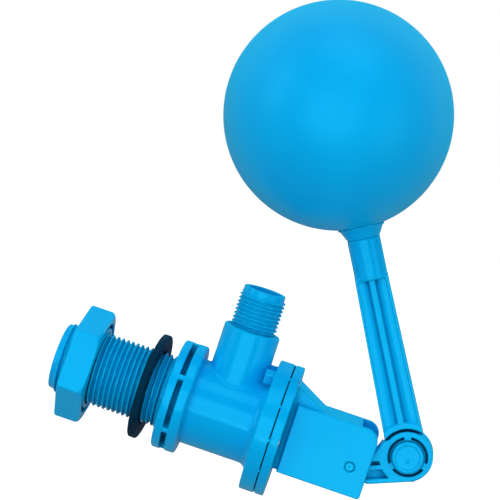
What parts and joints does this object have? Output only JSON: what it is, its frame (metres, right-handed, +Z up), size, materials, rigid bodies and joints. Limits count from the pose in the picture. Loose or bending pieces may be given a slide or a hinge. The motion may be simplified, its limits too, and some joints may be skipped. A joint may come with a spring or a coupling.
{
  "type": "float valve",
  "caption": "Plastic tank float valve: threaded wall shank with lock nut, diaphragm body with threaded top outlet, lever in a guard, folding float arm and ball float.",
  "frame": {"origin": "on the shank axis, in the plane of the wall flange's sealing face", "axes": "+X along the shank towards the lever, +Z up along the outlet branch, +Y away from the viewer who has the lever on the right"},
  "size_m": [0.174, 0.1016, 0.2226],
  "materials": {
    "blue_plastic": "moulded, semi-gloss",
    "rubber": "matt",
    "natural_nylon": "satin",
    "steel": "satin"
  },
  "bodies": {
    "body": {"valve_body": "blue_plastic", "inlet_filter": "natural_nylon", "seat_nozzle": "natural_nylon", "seat_o_ring": "rubber", "diaphragm": "rubber", "cover": "blue_plastic", "cover_screws": "steel", "lever_pin": "blue_plastic"},
    "lock_nut": {"lock_nut": "blue_plastic"},
    "wall_gasket": {"wall_gasket": "rubber"},
    "plunger": {"plunger": "natural_nylon"},
    "lever": {"lever": "blue_plastic", "elbow_pin": "blue_plastic", "elbow_washer": "steel", "elbow_wing_nut": "blue_plastic"},
    "float": {"float_arm": "blue_plastic", "float_stem": "blue_plastic", "float_near_shell": "blue_plastic", "float_far_shell": "blue_plastic"}
  },
  "joints": [
    {"name": "lever_pivot", "type": "hinge", "parent": "body", "child": "lever", "pos_m": [0.0871, 0, -0.00315], "axis": [0, 1, 0], "range_deg": [0, 35]},
    {"name": "plunger_slide", "type": "slide", "parent": "body", "child": "plunger", "axis": [1, 0, 0], "range_m": [0, 0.0018]},
    {"name": "elbow_adjust", "type": "hinge", "parent": "lever", "child": "float", "pos_m": [0.11021, 0, 0.00832], "axis": [0, 1, 0], "range_deg": [0, 165]},
    {"name": "nut_travel", "type": "slide", "parent": "body", "child": "lock_nut", "axis": [1, 0, 0], "range_m": [-0.005, 0.018]},
    {"name": "gasket_travel", "type": "slide", "parent": "body", "child": "wall_gasket", "axis": [1, 0, 0], "range_m": [-0.003, 0.005]}
  ],
  "couplings": [
    {"joint": "plunger_slide", "follows": "lever_pivot", "m_per_rad": 0.0029}
  ]
}
